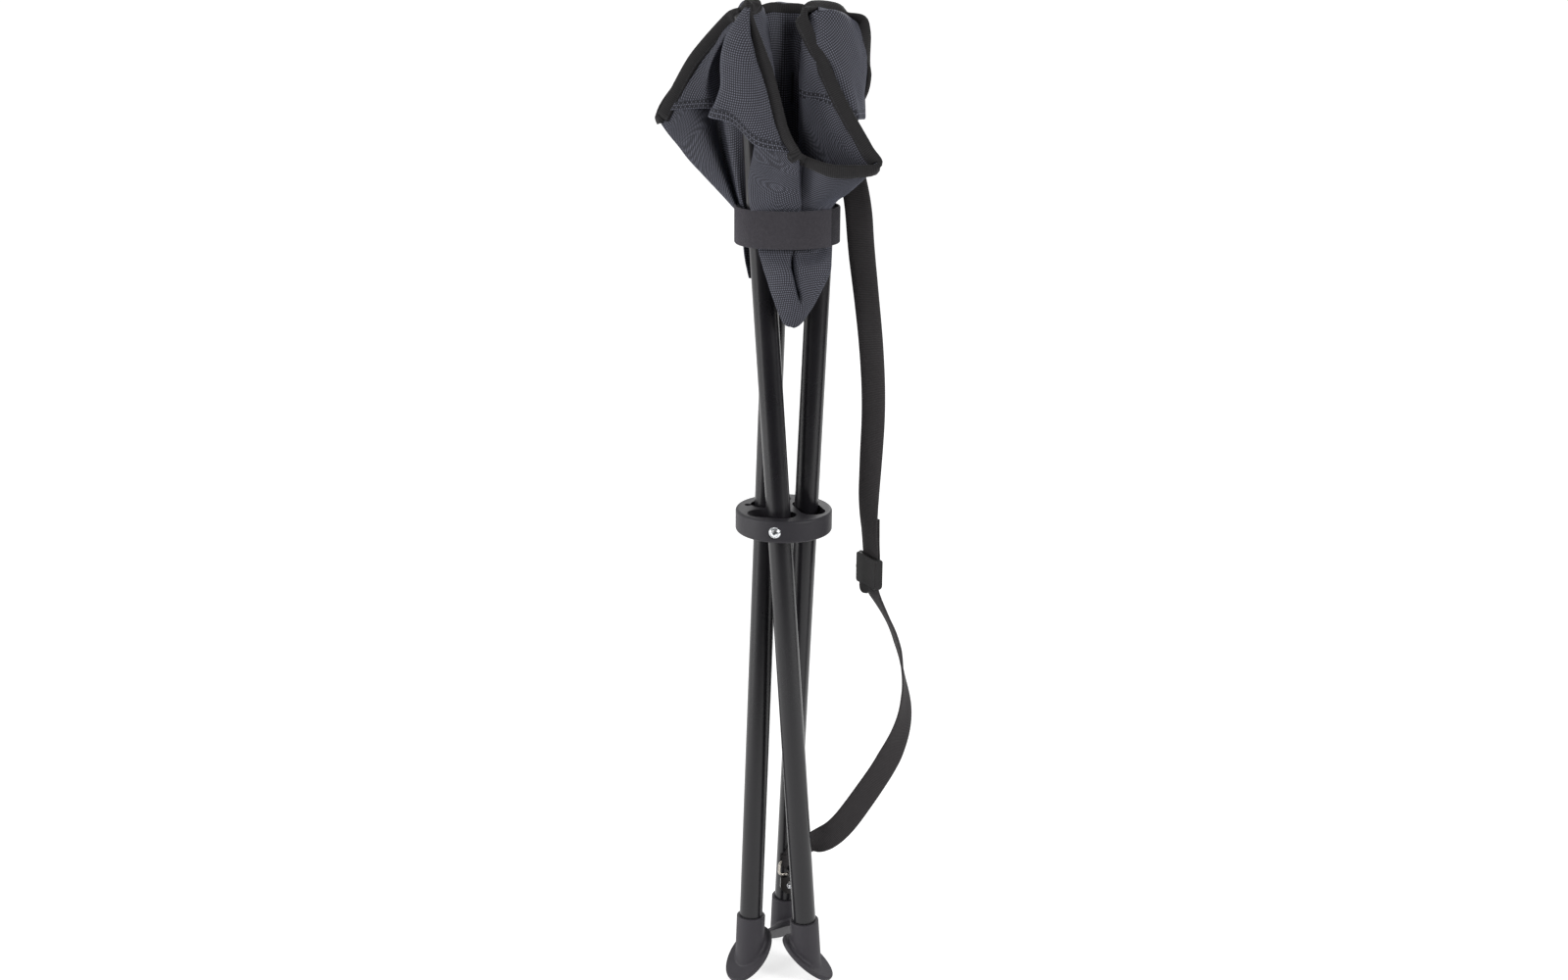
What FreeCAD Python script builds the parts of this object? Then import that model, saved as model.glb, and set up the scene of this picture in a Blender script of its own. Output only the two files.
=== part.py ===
import FreeCAD, Part
import math
import os

from FreeCAD import Placement, Rotation, Vector

# Folding three-legged camping stool, stored folded and standing on its feet.
# +Z is up, the hub's axis is x = y = 0, the floor is z = 0, and -Y is the front. Millimetres and degrees.

# Legs and their pivots
leg_names = ("a", "c", "b")
first_leg_azimuth = -100.7
pivot_radius = 15.6
folded_lean = 3.76
open_lean = 43.0
leg_cant = 0.95
tube_diameter = 16.0
tube_wall = 1.2
leg_above_pivot = 329.0
leg_below_pivot = 306.5

# Hub
hub_diameter = 64.3
hub_thickness = 15.0
hub_edge_round = 1.8
slot_side_gap = 0.35
slot_end_room = 3.0
tether_hole_diameter = 5.0
tether_hole_radius = 24.5
tether_hole_azimuth = 167.0
tether_hole_depth = 6.0

# Pivot rivets
rivet_diameter = 5.0
rivet_running_gap = 0.05
rivet_head_diameter = 8.2
rivet_head_height = 2.2
rivet_head_sink = 0.4
rivet_head_gap = 0.1
rivet_eye_diameter = 1.8
rivet_groove_radius = 2.5
rivet_groove_wire = 0.35
rivet_inner_end = 3.2
rivet_end_gap = 0.4

# Feet and top plugs
foot_rim_below_pivot = 290.7
foot_socket_wall = 2.0
foot_socket_gap = 0.05
foot_rim_above_sole_plate = 26.3
sole_length = 44.5
sole_width = 29.5
sole_thickness = 3.0
sole_edge_round = 1.2
foot_fillet = 2.0
foot_rim_round = 0.7
plug_depth = 14.0
plug_gap = 0.05
plug_dome_height = 3.0

# Strap anchor on leg c: tab, screw and ring
tab_width = 16.0
tab_eye_width = 7.0
tab_shoulder = 3.5
tab_thickness = 1.4
tab_screw_below_pivot = 277.0
tab_below_screw = 7.0
tab_above_screw = 10.5
screw_head_diameter = 7.0
screw_head_height = 2.4
screw_shank_diameter = 3.5
screw_shank_length = 7.0
screw_cross_length = 3.8
screw_cross_width = 0.9
screw_cross_depth = 1.3
ring_wire = 1.9
ring_width = 22.0
ring_height = 12.0
ring_play = 0.3

# Webbing and slider of the shoulder strap
web_width = 18.0
web_thickness = 1.4
slider_width = 24.0
slider_height = 21.0
slider_depth = 6.0
slider_rail = 2.6
slider_plate = 2.0
slider_bar = 2.8
slider_tongue_width = 14.0
slider_tongue_drop = 6.0
slider_tongue_slant = 18.0
slider_turn = -60.0
slider_middle = Vector(57.5, -1.6, 299)

# Seat cloth and its trimmings
cloth_thickness = 1.5
cloth_gap = 1.2
flank_turn = 80.0
wing_fold_width = 5.0
cup_bottom = 513.0
cup_hollow_from = 546.0
binding_width = 8.0
binding_proud = 0.8
pocket_thickness = 1.2
closure_height = 23.5
closure_bottom = 518.5
closure_thickness = 1.8

# Values that follow from those above
tube_radius = tube_diameter / 2
hub_radius = hub_diameter / 2
rivet_radius = rivet_diameter / 2
rivet_head_base = hub_radius - pivot_radius - rivet_head_sink
sole_slope = math.radians(open_lean)
sole_below_pivot = (foot_rim_below_pivot + foot_rim_above_sole_plate
                    + sole_thickness / math.cos(sole_slope))
sole_dip = sole_length / 2 * math.sin(math.radians(open_lean - folded_lean))
hub_height = ((sole_below_pivot * math.cos(math.radians(folded_lean)) + sole_dip)
              * math.cos(math.radians(leg_cant)))
leg_azimuth = {name: first_leg_azimuth + 120.0 * i for i, name in enumerate(leg_names)}


def leg_space(name):
    """Placement of a leg's own space: origin on the pivot, x along the rivet outwards, z up the leg."""
    turn = Rotation(Vector(0, 0, 1), leg_azimuth[name])
    cant = Rotation(Vector(0, 1, 0), leg_cant)
    lean = Rotation(Vector(1, 0, 0), folded_lean)
    pivot = turn.multVec(Vector(pivot_radius, 0, hub_height))
    return Placement(pivot, turn.multiply(cant).multiply(lean))


def rivet_space(name):
    """As leg_space, before the leg leans: the hub's side of the pivot."""
    turn = Rotation(Vector(0, 0, 1), leg_azimuth[name])
    cant = Rotation(Vector(0, 1, 0), leg_cant)
    pivot = turn.multVec(Vector(pivot_radius, 0, hub_height))
    return Placement(pivot, turn.multiply(cant))


def placed(shape, placement):
    moved = shape.copy()
    moved.transformShape(placement.toMatrix(), True)
    return moved


def rod(radius, start, end):
    axis = end - start
    return Part.makeCylinder(radius, axis.Length, start, axis)


def polygon(points):
    return Part.makePolygon(list(points) + [points[0]])


def loft(wires):
    return Part.makeLoft(wires, True, True)


def save(name, shape):
    shape.exportStep("parts/" + name + ".step")
    print(name, "valid", shape.isValid(), "solids", len(shape.Solids), "volume", round(shape.Volume, 1))


# Hub: a thick disc with three slots that flare the way the legs swing
def slot_section(height):
    """Outline of a leg slot at a height above the pivot: two straight sides and round ends."""
    half_width = tube_radius + slot_side_gap
    reach = half_width / math.cos(math.radians(open_lean)) + slot_end_room
    still = half_width / math.cos(math.radians(folded_lean)) + slot_end_room
    swing = abs(height) * math.tan(math.radians(open_lean))
    rest = abs(height) * math.tan(math.radians(folded_lean))
    low, high = -reach, reach
    if height > 0:
        low, high = -(swing + reach), still - rest
    if height < 0:
        low, high = rest - still, swing + reach
    corner = half_width * math.sqrt(0.5)
    edges = []
    for end, way in ((high - half_width, 1), (low + half_width, -1)):
        a = Vector(way * half_width, end, height)
        b = Vector(way * corner, end + way * corner, height)
        c = Vector(0, end + way * half_width, height)
        d = Vector(-way * corner, end + way * corner, height)
        e = Vector(-way * half_width, end, height)
        edges.append((Part.Arc(a, b, c).toShape(), Part.Arc(c, d, e).toShape(), a, e))
    first, second = edges
    side = Part.LineSegment(first[3], second[2]).toShape()
    other_side = Part.LineSegment(second[3], first[2]).toShape()
    return Part.Wire([first[0], first[1], side, second[0], second[1], other_side])


def make_hub():
    bottom = hub_height - hub_thickness / 2
    disc = Part.makeCylinder(hub_radius, hub_thickness, Vector(0, 0, bottom))
    rims = [e for e in disc.Edges if isinstance(e.Curve, Part.Circle)]
    body = disc.makeFillet(hub_edge_round, rims)
    through = hub_thickness / 2 + 1.0
    slot = loft([slot_section(through), slot_section(0)])
    slot = slot.fuse(loft([slot_section(0), slot_section(-through)])).removeSplitter()
    outside = Vector(hub_radius, 0, 0)
    bore = rod(rivet_radius + rivet_running_gap, Vector(rivet_inner_end - pivot_radius, 0, 0), outside)
    seat = rod(rivet_head_diameter / 2 + rivet_head_gap, Vector(rivet_head_base, 0, 0), outside)
    for name in leg_names:
        for hollow in (slot, bore, seat):
            body = body.cut(placed(hollow, rivet_space(name)))
    angle = math.radians(tether_hole_azimuth)
    mouth = Vector(tether_hole_radius * math.cos(angle), tether_hole_radius * math.sin(angle),
                   bottom + hub_thickness - tether_hole_depth)
    return body.cut(Part.makeCylinder(tether_hole_diameter / 2, tether_hole_depth + 1, mouth))


# Pivot rivets: a domed head with an eye outside the hub, and a shank through the leg into the hub's core
def make_rivet():
    base = rivet_head_base
    dome_radius = ((rivet_head_diameter / 2) ** 2 + rivet_head_height ** 2) / (2 * rivet_head_height)
    top = base + rivet_head_height
    rim = rivet_head_diameter / 2
    slant = math.asin(rim / dome_radius) / 2
    crown = Vector(top - dome_radius + dome_radius * math.cos(slant), dome_radius * math.sin(slant), 0)
    arc = Part.Arc(Vector(top, 0, 0), crown, Vector(base, rim, 0)).toShape()
    back = Part.makePolygon([Vector(base, rim, 0), Vector(base, 0, 0), Vector(top, 0, 0)])
    head = Part.Face(Part.Wire([arc] + back.Edges)).revolve(Vector(0, 0, 0), Vector(1, 0, 0), 360)
    shank_end = Vector(rivet_inner_end - pivot_radius + rivet_end_gap, 0, 0)
    shank = rod(rivet_radius, shank_end, Vector(base + 0.5, 0, 0))
    eye = rod(rivet_eye_diameter / 2, Vector(base - 1.5, 0, 0), Vector(top + 1, 0, 0))
    groove_place = top - dome_radius + math.sqrt(dome_radius ** 2 - rivet_groove_radius ** 2)
    groove = Part.makeTorus(rivet_groove_radius, rivet_groove_wire, Vector(groove_place, 0, 0),
                            Vector(1, 0, 0))
    return head.fuse(shank).removeSplitter().cut(eye).cut(groove)


# Leg tube, cross-drilled at the pivot
def make_tube(with_screw_hole):
    low, high = Vector(0, 0, -leg_below_pivot), Vector(0, 0, leg_above_pivot)
    tube = rod(tube_radius, low, high).cut(rod(tube_radius - tube_wall, low, high))
    tube = tube.cut(rod(rivet_radius + rivet_running_gap, Vector(-tube_diameter, 0, 0),
                        Vector(tube_diameter, 0, 0)))
    if with_screw_hole:
        height = -tab_screw_below_pivot
        tube = tube.cut(rod(screw_shank_diameter / 2 + rivet_running_gap, Vector(0, 0, height),
                            Vector(0, -tube_diameter, height)))
    return tube


# Plug in the top end of a leg, with a low dome
def make_plug():
    dome_radius = (tube_radius ** 2 + plug_dome_height ** 2) / (2 * plug_dome_height)
    centre = Vector(0, 0, leg_above_pivot + plug_dome_height - dome_radius)
    dome = Part.makeSphere(dome_radius, centre)
    tube_end = Vector(0, 0, leg_above_pivot)
    cap = rod(tube_radius, tube_end, Vector(0, 0, leg_above_pivot + plug_dome_height)).common(dome)
    stem = rod(tube_radius - tube_wall - plug_gap, Vector(0, 0, leg_above_pivot - plug_depth), tube_end)
    return cap.fuse(stem).removeSplitter()


# Foot: a socket on the tube's end over an oval sole that lies flat when the stool is open
def make_foot():
    sole_space = Placement(Vector(0, 0, -sole_below_pivot), Rotation(Vector(1, 0, 0), -open_lean))
    oval = Part.Ellipse(Vector(0, sole_length / 2, 0), Vector(sole_width / 2, 0, 0), Vector()).toShape()
    plate = Part.Face(Part.Wire([oval])).extrude(Vector(0, 0, sole_thickness))
    top_rim = [e for e in plate.Edges if e.CenterOfMass.z > sole_thickness - 0.01]
    plate = plate.makeFillet(sole_edge_round, top_rim)
    outer = tube_radius + foot_socket_wall
    deep = sole_below_pivot + sole_length
    socket = rod(outer, Vector(0, 0, -deep), Vector(0, 0, -foot_rim_below_pivot))
    socket_rim = [e for e in socket.Edges if e.CenterOfMass.z > -foot_rim_below_pivot - 0.01]
    socket = socket.makeFillet(foot_rim_round, socket_rim)
    over_sole = Part.makeBox(4 * sole_length, 4 * sole_length, 4 * sole_length,
                             Vector(-2 * sole_length, -2 * sole_length, sole_thickness / 2))
    socket = socket.common(placed(over_sole, sole_space))
    body = placed(plate, sole_space).fuse(socket).removeSplitter()
    joint = []
    for edge in body.Edges:
        points = edge.discretize(7)
        on_socket = all(abs(math.hypot(p.x, p.y) - outer) < 0.01 for p in points)
        curved = not isinstance(edge.Curve, Part.Line)
        if on_socket and curved and edge.CenterOfMass.z < -foot_rim_below_pivot - 3:
            joint.append(edge)
    body = body.makeFillet(foot_fillet, joint)
    bore = rod(tube_radius + foot_socket_gap, Vector(0, 0, -leg_below_pivot), Vector(0, 0, 0))
    return body.cut(bore)


# Strap anchor on leg c, on the side that trails when the leg opens (its -y side)
eye_radius = ring_wire / 2 + ring_play
eye_height = tab_above_screw - tab_screw_below_pivot
eye_from_axis = tube_radius + tab_thickness + eye_radius
tab_face = tube_radius + tab_thickness


def make_tab():
    """A flat tab with a round lower end, narrowed at its top to a rolled eye that holds the ring."""
    half, narrow = tab_width / 2, tab_eye_width / 2
    screw_height = -tab_screw_below_pivot
    bend = screw_height - tab_below_screw + half
    left, right = Vector(-half, -tube_radius, bend), Vector(half, -tube_radius, bend)
    quarter = half * math.sqrt(0.5)
    lowest = Vector(0, -tube_radius, bend - half)
    low_left = Part.Arc(left, Vector(-quarter, -tube_radius, bend - quarter), lowest).toShape()
    low_right = Part.Arc(lowest, Vector(quarter, -tube_radius, bend - quarter), right).toShape()
    shoulder = eye_height - tab_shoulder
    upper = [(half, bend), (half, shoulder), (narrow, shoulder), (narrow, eye_height), (-narrow, eye_height),
             (-narrow, shoulder), (-half, shoulder), (-half, bend)]
    sides = Part.makePolygon([Vector(x, -tube_radius, z) for x, z in upper])
    plate = Part.Face(Part.Wire([low_left, low_right] + sides.Edges)).extrude(Vector(0, -tab_thickness, 0))
    centre = Vector(-narrow, -eye_from_axis, eye_height)
    roll = Part.makeCylinder(eye_radius + tab_thickness, tab_eye_width, centre, Vector(1, 0, 0))
    bore = Part.makeCylinder(eye_radius, tab_eye_width, centre, Vector(1, 0, 0))
    tab = plate.fuse(roll).removeSplitter().cut(bore)
    hole = rod(screw_shank_diameter / 2 + rivet_running_gap, Vector(0, 0, screw_height),
               Vector(0, -2 * tube_diameter, screw_height))
    return tab.cut(hole).cut(rod(tube_radius, Vector(0, 0, -leg_below_pivot), Vector(0, 0, 0)))


def make_tab_screw():
    screw_height = -tab_screw_below_pivot
    rim = screw_head_diameter / 2
    dome_radius = (rim ** 2 + screw_head_height ** 2) / (2 * screw_head_height)
    centre = Vector(0, -(tab_face + screw_head_height - dome_radius), screw_height)
    seat = Vector(0, -tab_face, screw_height)
    head = rod(rim, seat, Vector(0, -(tab_face + screw_head_height), screw_height))
    head = head.common(Part.makeSphere(dome_radius, centre))
    shank = rod(screw_shank_diameter / 2, Vector(0, screw_shank_length - tab_face, screw_height), seat)
    screw = head.fuse(shank).removeSplitter()
    floor = -(tab_face + screw_head_height - screw_cross_depth)
    for across, tall in ((screw_cross_length, screw_cross_width), (screw_cross_width, screw_cross_length)):
        screw = screw.cut(Part.makeBox(across, 2 * screw_cross_depth, tall, Vector(
            -across / 2, floor - 2 * screw_cross_depth, screw_height - tall / 2)))
    return screw


def make_ring():
    """A rectangular wire ring with round corners, its lower bar in the tab's eye."""
    half = (ring_width - ring_wire) / 2
    top = ring_height - ring_wire
    corner = 1.5 * ring_wire
    cut = corner * (1 - math.sqrt(0.5))
    edges = []
    places = ((half, 0, -1, 1), (half, top, -1, -1), (-half, top, 1, -1), (-half, 0, 1, 1))
    ends = []
    for i, (x, z, to_x, to_z) in enumerate(places):
        along_x = Vector(x + to_x * corner, 0, z)
        along_z = Vector(x, 0, z + to_z * corner)
        start, end = (along_x, along_z) if i % 2 == 0 else (along_z, along_x)
        middle = Vector(x + to_x * cut, 0, z + to_z * cut)
        ends.append((start, end))
        edges.append(Part.Arc(start, middle, end).toShape())
    path = []
    for i, arc in enumerate(edges):
        path.append(arc)
        path.append(Part.LineSegment(ends[i][1], ends[(i + 1) % 4][0]).toShape())
    spine = Part.Wire(path)
    profile = Part.Wire([Part.Circle(ends[0][0], Vector(1, 0, 0), ring_wire / 2).toShape()])
    ring = spine.makePipeShell([profile], True, False)
    ring.translate(Vector(0, -eye_from_axis, eye_height))
    return ring


# Shoulder strap: webbing along a route, each point with the way its width lies (turn from +X towards +Y)
upper_route = (
    (Vector(35, 8.2, 592), -33), (Vector(40.5, 7, 568), -25), (Vector(46, 4, 544), -18),
    (Vector(48, 2, 517), -22), (Vector(52, 0, 486), -29), (Vector(56.2, -2, 450), -32),
    (Vector(58.5, -2, 412), -35), (Vector(57, -2, 374), -38), (Vector(55.8, -2, 342), -45),
    (Vector(57.9, -1.3, 318), -57), (Vector(58.54, -1, 305.1), -60))
lower_route = (
    (Vector(58.54, -1, 291.9), -60), (Vector(59.4, -0.6, 285), -63), (Vector(66, -1.2, 273), -84),
    (Vector(77, 0, 251), -90), (Vector(83, 2, 220), -100), (Vector(85, 3, 190), -132),
    (Vector(75, 3, 160), -165), (Vector(57, 3, 130), -174), (Vector(41, 4.5, 105), -172),
    (Vector(27, 6, 94.5), -166), (Vector(14, 7.4, 91.5), -161.5), (Vector(9.6, 8.9, 81.2), -160.7))


def ribbon(route):
    """A flat band whose sections stand square across the middle of each run of the route."""
    sections = []
    count = len(route)
    for i in range(count - 1):
        (start, turn), (end, next_turn) = route[i], route[i + 1]
        run = end - start
        shares = (0.5,)
        if i == 0:
            shares = (0.0, 0.5)
        if i == count - 2:
            shares = (0.5, 1.0)
        for share in shares:
            angle = math.radians(turn + (next_turn - turn) * share)
            wide = Vector(math.cos(angle), math.sin(angle), 0)
            thick = run.cross(wide).normalize()
            wide = thick.cross(run).normalize()
            centre = start + run * share
            sections.append(polygon([
                centre + wide * (sx * web_width / 2) + thick * (sy * web_thickness / 2)
                for sx, sy in ((1, 1), (-1, 1), (-1, -1), (1, -1))]))
    return loft(sections)


def make_slider():
    """A ladder-lock: a wide front plate, two rails and two round bars behind it, and a lifting tongue."""
    half, top, back = slider_width / 2, slider_height / 2, slider_depth / 2
    end_round, belly = 0.4 * slider_depth, 0.42 * slider_depth
    side = belt([(Vector(back - end_round, end_round - top, 0), end_round),
                 (Vector(back - end_round, top - end_round, 0), end_round),
                 (Vector(belly - back, 0, 0), belly)], 0)
    upright = Placement(Vector(), Rotation(Vector(1, 1, 1), 120))
    rail = placed(side.extrude(Vector(0, 0, slider_rail)), upright)
    front = -back
    plate = Part.makeBox(slider_width, slider_plate, slider_height, Vector(-half, front, -top))
    corners = [e for e in plate.Edges if abs(e.Vertexes[0].Y - e.Vertexes[1].Y) > 0.1]
    plate = plate.makeFillet(slider_plate, corners)
    face_edges = [e for e in plate.Edges if max(v.Y for v in e.Vertexes) < front + 0.01]
    body = plate.makeFillet(0.25 * slider_plate, face_edges)
    for x in (-half, half - slider_rail):
        moved = rail.copy()
        moved.translate(Vector(x, 0, 0))
        body = body.fuse(moved)
    for height in (top - 6.0, 5.0 - top):
        body = body.fuse(rod(slider_bar / 2, Vector(1 - half, back - slider_bar / 2 - 0.2, height),
                             Vector(half - 1, back - slider_bar / 2 - 0.2, height)))
    reach = slider_tongue_width / 2
    middle = Vector(0, 0, reach - slider_tongue_drop)
    tongue = rod(reach, middle, middle + Vector(0, 0.9 * slider_plate, 0))
    below_plate = Vector(-2 * reach, -2 * reach, 2.0 - 4 * reach)
    tongue = tongue.common(Part.makeBox(4 * reach, 4 * reach, 4 * reach, below_plate))
    slant = Rotation(Vector(1, 0, 0), -slider_tongue_slant)
    return body.fuse(placed(tongue, Placement(Vector(0, front, 1.0 - top), slant))).removeSplitter()


# Seat cloth: a cup with three wings that hangs between the legs, which stand in the valleys outside it.
# Each fold line is given by (height, x, y).
cup_top = 680.0
left_fold = ((cup_bottom, -26, 3), (543, -28, 3), (604, -78, 9), (cup_top, -78, 9))
right_fold = ((cup_bottom, 23.5, 6.5), (543, 24.5, 6), (575, 45, -3), (600, 49, -5), (cup_top, 50, -8))
pouch_left = ((cup_bottom, -15, -26.5), (543, -17, -27.5), (560, -20, -38), (577, 2, -52), (600, -4, -50),
              (640, -14, -45), (cup_top, -22, -40))
pouch_crease = ((cup_bottom, 8, -28.5), (543, 9, -29), (560, 10, -38), (577, 14, -54), (640, 4, -50),
                (cup_top, -4, -44))
pouch_right = ((cup_bottom, 24, -17), (543, 25, -18), (574, 59, -53), (600, 40, -50), (640, 22, -46),
               (cup_top, 8, -42))
pouch_fold = ((cup_bottom, 9, -16), (560, 11, -22), (600, 12, -30), (640, 12, -27), (cup_top, 12, -25))
cup_levels = (cup_bottom, 543, 560, 577, 604, 640, cup_top)
tip_a = Vector(-23, -28, 671)
tip_b = Vector(-1.7, 31, 668)
tip_c = Vector(11, -28, 666)
left_corner = Vector(-79, 9, 602)
lip_middle = Vector(32, -53, 579)
right_corner = Vector(49, -8, 663)


def along(line, height):
    """Point of a fold line at a height, between its two nearest points."""
    for (z0, x0, y0), (z1, x1, y1) in zip(line, line[1:]):
        if z0 <= height <= z1:
            share = (height - z0) / (z1 - z0)
            return Vector(x0 + (x1 - x0) * share, y0 + (y1 - y0) * share, height)
    end_height, x, y = line[-1]
    return Vector(x, y, height)


def leg_at(name, height):
    """Where a leg's axis passes a height."""
    space = leg_space(name)
    up = space.Rotation.multVec(Vector(0, 0, 1))
    return space.Base + up * ((height - space.Base.z) / up.z)


def around_leg(name, height):
    """Five points of the cloth where it wraps the inner side of a leg, in turn as the outline runs."""
    axis = leg_at(name, height)
    inward = math.degrees(math.atan2(-axis.y, -axis.x))
    reach = (tube_radius + cloth_gap) / math.cos(math.radians(flank_turn / 4))
    points = []
    for share in (1, 0.5, 0, -0.5, -1):
        angle = math.radians(inward + share * flank_turn)
        points.append(axis + Vector(reach * math.cos(angle), reach * math.sin(angle), 0))
    return points


def cup_outline(height):
    half_fold = Vector(0, wing_fold_width / 2, 0)
    right, left = along(right_fold, height), along(left_fold, height)
    front = [along(line, height) for line in (pouch_left, pouch_crease, pouch_right, pouch_fold)]
    return (front + around_leg("c", height) + [right - half_fold, right + half_fold]
            + around_leg("b", height) + [left + half_fold, left - half_fold] + around_leg("a", height))


def grown(points, amount):
    """The outline moved outwards by an amount, or inwards if it is negative."""
    count = len(points)
    moved = []
    for i, point in enumerate(points):
        before = (point - points[i - 1]).normalize()
        after = (points[(i + 1) % count] - point).normalize()
        out_before = Vector(before.y, -before.x, 0)
        out_after = Vector(after.y, -after.x, 0)
        mean = out_before + out_after
        moved.append(point + mean * (2 * amount / max(mean.Length ** 2, 1.0)))
    return moved


def cup_loft(amount, bottom):
    levels = [bottom] + [z for z in cup_levels if z > bottom]
    return loft([polygon(grown(cup_outline(z), amount)) for z in levels])


def under(a, b, c, drop):
    """A large block whose top is the plane through three points, let down by a distance."""
    normal = (b - a).cross(c - a).normalize()
    if normal.z < 0:
        normal = normal * -1
    size = 600.0
    block = Part.makeBox(size, size, size, Vector(-size / 2, -size / 2, -size))
    return placed(block, Placement(a - normal * drop, Rotation(Vector(0, 0, 1), normal)))


rims = {"left": (tip_a, left_corner, tip_b), "front": (tip_a, lip_middle, tip_c),
        "right": (tip_c, right_corner, tip_b)}
tongue_rows = ((516, -14.5, 23.5), (505, -15, 29.5), (492, -11, 28), (472, -1, 14), (464, 3, 9))


def tongue_section(height, left, right):
    """Two soft pleats side by side with a crease between them, in front of legs a and c."""
    width = right - left
    full = min(0.16 * width, 5.0)
    points = []
    for share, bulge in ((0, 0), (0.28, 1), (0.5, 0.5), (0.72, 1), (1, 0)):
        x = left + width * share
        points.append(Vector(x, -25.6 + 0.2 * (x + 15) - full * bulge, height))
    return polygon(points)


def make_seat():
    """The seat panel with its hanging tongue, and the binding along each of its three edges."""
    thin = cup_loft(0, cup_bottom).cut(cup_loft(-cloth_thickness, cup_hollow_from))
    thick = cup_loft(binding_proud, cup_hollow_from).cut(
        cup_loft(-cloth_thickness - binding_proud, cup_hollow_from))
    for rim in rims.values():
        thin = thin.common(under(*rim, binding_width))
        thick = thick.common(under(*rim, 0))
    bindings = {}
    for side, rim in rims.items():
        inner = under(*rim, binding_width)
        bindings[side] = max(thick.cut(inner).Solids, key=lambda solid: solid.Volume)
        thick = thick.common(inner)
    tongue = loft([tongue_section(*row) for row in tongue_rows])
    return thin.fuse(tongue).removeSplitter(), bindings


# Corner pockets: a patch of cloth round the outside of each leg's top, open at its lower hem.
# Each row is a height and the places that the patch passes there.
pocket_rows = {
    "a": ((560, (-62, 0), (-34, -5), (-38, -30), (-7, -42)),
          (600, (-64, 0.8), (-36, -7.5), (-39, -30), (-9, -43)),
          (640, (-50, -4.5), (-37, -8.5), (-39, -29), (-18, -33)),
          (662, (-38, -9), (-37, -14), (-36, -27), (-26, -30))),
    "b": ((592, (-44, 18), (-15, 34), (-2, 40), (15, 34), (36, 9.5)),
          (663, (-17, 29), (-12, 35), (-2, 42), (8, 37), (13, 29))),
    "c": ((592, (41, -45), (46, -27), (48.2, -7.4)), (640, (23, -33), (38, -25), (48.8, -9.9)),
          (660, (16, -30), (37, -26), (48.5, -12)))}
hem_planes = {"a": (Vector(-79, 0, 598), Vector(-38, -32, 598), Vector(0, -44, 577))}


def patch_section(height, places):
    """A band of pocket cloth at one height, half of its thickness to each side of the places."""
    points = [Vector(x, y, height) for x, y in places]
    sides = []
    for way in (1, -1):
        side = []
        for i, point in enumerate(points):
            before = (point - points[i - 1]).normalize() if i else (points[1] - point).normalize()
            after = (points[i + 1] - point).normalize() if i + 1 < len(points) else before
            mean = Vector(before.y + after.y, -before.x - after.x, 0)
            side.append(point + mean * (way * pocket_thickness / max(mean.Length ** 2, 1.0)))
        sides.append(side)
    return polygon(sides[0] + sides[1][::-1])


def make_pocket(name):
    patch = loft([patch_section(row[0], row[1:]) for row in pocket_rows[name]])
    if name in hem_planes:
        patch = patch.cut(under(*hem_planes[name], 0))
    return patch


# Closure strap: a band drawn round the legs and the bundled cloth, with its end pressed over at the left
def belt(rounds, grow):
    """A closed outline drawn tight round circles given as (centre, radius), in turn anticlockwise."""
    normals = []
    count = len(rounds)
    for i in range(count):
        (a, ra), (b, rb) = rounds[i], rounds[(i + 1) % count]
        way = b - a
        step = way.Length
        way.normalize()
        lean = (ra - rb) / step
        normals.append(Vector(way.y, -way.x, 0) * math.sqrt(1 - lean * lean) + way * lean)
    edges = []
    for i in range(count):
        centre, radius = rounds[i]
        following, next_radius = rounds[(i + 1) % count]
        into, out_of = normals[i - 1], normals[i]
        middle = (into + out_of).normalize()
        edges.append(Part.Arc(centre + into * (radius + grow), centre + middle * (radius + grow),
                              centre + out_of * (radius + grow)).toShape())
        edges.append(Part.LineSegment(centre + out_of * (radius + grow),
                                      following + out_of * (next_radius + grow)).toShape())
    return Part.Face(Part.Wire(edges))


def make_closure():
    level = closure_bottom + closure_height / 2
    floor = Vector(0, 0, closure_bottom - level)
    snug = tube_radius + 4.5
    rounds = [(leg_at("a", level) + floor, snug), (Vector(6, -20.5, closure_bottom), 10.0),
              (leg_at("c", level) + floor, snug), (leg_at("b", level) + floor, snug),
              (Vector(-25, 3, closure_bottom), 6.0)]
    rise = Vector(0, 0, closure_height)
    inner, outer = belt(rounds, 0).extrude(rise), belt(rounds, closure_thickness).extrude(rise)
    lap = belt(rounds, 2 * closure_thickness).extrude(rise).cut(outer)
    left_side = Part.makeBox(40, 34, closure_height - 2.0, Vector(-60, -22, closure_bottom + 1.0))
    return outer.cut(inner), lap.common(left_side)


# Build and write every piece
os.makedirs("parts", exist_ok=True)
save("hub", make_hub())
save("pivot_rivets", Part.makeCompound([placed(make_rivet(), rivet_space(name)) for name in leg_names]))
for name in leg_names:
    save("leg_tube_" + name, placed(make_tube(name == "c"), leg_space(name)))
    save("leg_plug_" + name, placed(make_plug(), leg_space(name)))
    save("foot_" + name, placed(make_foot(), leg_space(name)))
    save("corner_pocket_" + name, make_pocket(name))
save("strap_tab", placed(make_tab(), leg_space("c")))
save("tab_screw", placed(make_tab_screw(), leg_space("c")))
save("strap_ring", placed(make_ring(), leg_space("c")))
save("shoulder_strap_upper", ribbon(upper_route))
save("shoulder_strap_lower", ribbon(lower_route))
slider_place = Placement(slider_middle, Rotation(Vector(0, 0, 1), slider_turn))
save("strap_slider", placed(make_slider(), slider_place))
panel, bindings = make_seat()
save("seat_panel", panel)
for side, binding in bindings.items():
    save("edge_binding_" + side, binding)
band, lap = make_closure()
save("closure_strap", band)
save("closure_tab", lap)
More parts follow.
